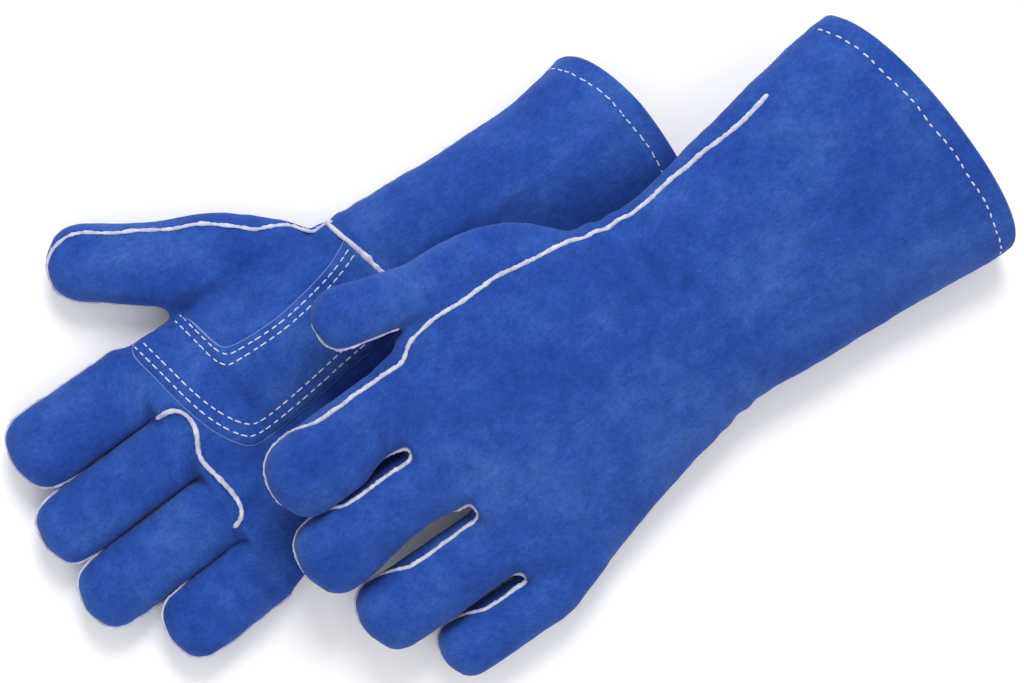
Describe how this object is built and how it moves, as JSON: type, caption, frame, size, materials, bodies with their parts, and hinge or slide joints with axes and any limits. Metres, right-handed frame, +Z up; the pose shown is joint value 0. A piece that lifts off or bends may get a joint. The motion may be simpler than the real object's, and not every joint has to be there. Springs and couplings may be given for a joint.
{
  "type": "welding gloves",
  "caption": "Pair of long-cuffed welding gloves in blue split leather with pale welted seams, lined, with a reinforced palm and thumb crotch; one lies palm up, the other palm down across it.",
  "frame": {"origin": "centre of the pair in plan, on the floor that the gloves lie on", "axes": "+Z up from the floor; +Y from the fingertips towards the gauntlet cuffs; the thumbs point towards -X"},
  "size_m": [0.2788, 0.448, 0.0697],
  "materials": {
    "blue_suede": "napped split cowhide, dyed royal blue, matte",
    "welt_leather": "pale grey split-leather welt, raw edge, matte",
    "thread": "pale aramid sewing thread",
    "fleece_lining": "cotton fleece, napped",
    "canvas_lining": "cotton canvas, plain weave"
  },
  "bodies": {
    "right_hand": {"right_back_panel": "blue_suede", "right_cuff_front": "blue_suede", "right_palm_panel": "blue_suede", "right_palm_patch": "blue_suede", "right_hand_lining": "fleece_lining", "right_cuff_lining": "canvas_lining", "right_side_welt": "welt_leather", "right_wrist_welt": "welt_leather", "right_finger_base_welt": "welt_leather", "right_stitching": "thread"},
    "right_index": {"right_index_back": "blue_suede", "right_index_front": "blue_suede", "right_index_lining": "fleece_lining", "right_index_welt": "welt_leather"},
    "right_middle": {"right_middle_back": "blue_suede", "right_middle_front": "blue_suede", "right_middle_lining": "fleece_lining", "right_middle_welt": "welt_leather"},
    "right_ring": {"right_ring_back": "blue_suede", "right_ring_front": "blue_suede", "right_ring_lining": "fleece_lining", "right_ring_welt": "welt_leather"},
    "right_little": {"right_little_back": "blue_suede", "right_little_front": "blue_suede", "right_little_lining": "fleece_lining", "right_little_welt": "welt_leather"},
    "right_thumb": {"right_thumb_back": "blue_suede", "right_thumb_front": "blue_suede", "right_thumb_lining": "fleece_lining", "right_thumb_welt": "welt_leather"},
    "left_hand": {"left_back_panel": "blue_suede", "left_cuff_front": "blue_suede", "left_palm_panel": "blue_suede", "left_palm_patch": "blue_suede", "left_hand_lining": "fleece_lining", "left_cuff_lining": "canvas_lining", "left_side_welt": "welt_leather", "left_wrist_welt": "welt_leather", "left_finger_base_welt": "welt_leather", "left_stitching": "thread"},
    "left_index": {"left_index_back": "blue_suede", "left_index_front": "blue_suede", "left_index_lining": "fleece_lining", "left_index_welt": "welt_leather"},
    "left_middle": {"left_middle_back": "blue_suede", "left_middle_front": "blue_suede", "left_middle_lining": "fleece_lining", "left_middle_welt": "welt_leather"},
    "left_ring": {"left_ring_back": "blue_suede", "left_ring_front": "blue_suede", "left_ring_lining": "fleece_lining", "left_ring_welt": "welt_leather"},
    "left_little": {"left_little_back": "blue_suede", "left_little_front": "blue_suede", "left_little_lining": "fleece_lining", "left_little_welt": "welt_leather"},
    "left_thumb": {"left_thumb_back": "blue_suede", "left_thumb_front": "blue_suede", "left_thumb_lining": "fleece_lining", "left_thumb_welt": "welt_leather"}
  },
  "joints": [
    {"name": "left_glove_lift", "type": "slide", "parent": "right_hand", "child": "left_hand", "axis": [0, 0, 1], "range_m": [0, 0.12]},
    {"name": "right_index_curl", "type": "hinge", "parent": "right_hand", "child": "right_index", "pos_m": [-0.0598, -0.14158, 0.022], "axis": [-0.9998, 0.0175, 0], "range_deg": [0, 60]},
    {"name": "right_middle_curl", "type": "hinge", "parent": "right_hand", "child": "right_middle", "pos_m": [-0.0248, -0.14219, 0.022], "axis": [-0.9998, 0.0175, 0], "range_deg": [0, 60]},
    {"name": "right_ring_curl", "type": "hinge", "parent": "right_hand", "child": "right_ring", "pos_m": [0.00844, -0.14277, 0.022], "axis": [-0.9998, 0.0175, 0], "range_deg": [0, 60]},
    {"name": "right_little_curl", "type": "hinge", "parent": "right_hand", "child": "right_little", "pos_m": [0.03994, -0.14332, 0.022], "axis": [-0.9998, 0.0175, 0], "range_deg": [0, 60]},
    {"name": "right_thumb_fold", "type": "hinge", "parent": "right_hand", "child": "right_thumb", "pos_m": [-0.07728, -0.06887, 0.022], "axis": [0.1141, 0.9935, 0], "range_deg": [0, 45]},
    {"name": "left_index_bend_back", "type": "hinge", "parent": "left_hand", "child": "left_index", "pos_m": [0.02435, -0.04435, 0.05877], "axis": [-0.9563, 0, 0.2924], "range_deg": [0, 30]},
    {"name": "left_middle_bend_back", "type": "hinge", "parent": "left_hand", "child": "left_middle", "pos_m": [0.06093, -0.04435, 0.04759], "axis": [-0.9563, 0, 0.2924], "range_deg": [0, 30]},
    {"name": "left_ring_bend_back", "type": "hinge", "parent": "left_hand", "child": "left_ring", "pos_m": [0.09846, -0.04435, 0.03612], "axis": [-0.9563, 0, 0.2924], "range_deg": [0, 30]},
    {"name": "left_little_bend_back", "type": "hinge", "parent": "left_hand", "child": "left_little", "pos_m": [0.13002, -0.04435, 0.02647], "axis": [-0.9563, 0, 0.2924], "range_deg": [0, 30]},
    {"name": "left_thumb_lift", "type": "hinge", "parent": "left_hand", "child": "left_thumb", "pos_m": [-0.00552, 0.01855, 0.06111], "axis": [0.0681, 0.9975, -0.0208], "range_deg": [0, 20]}
  ]
}
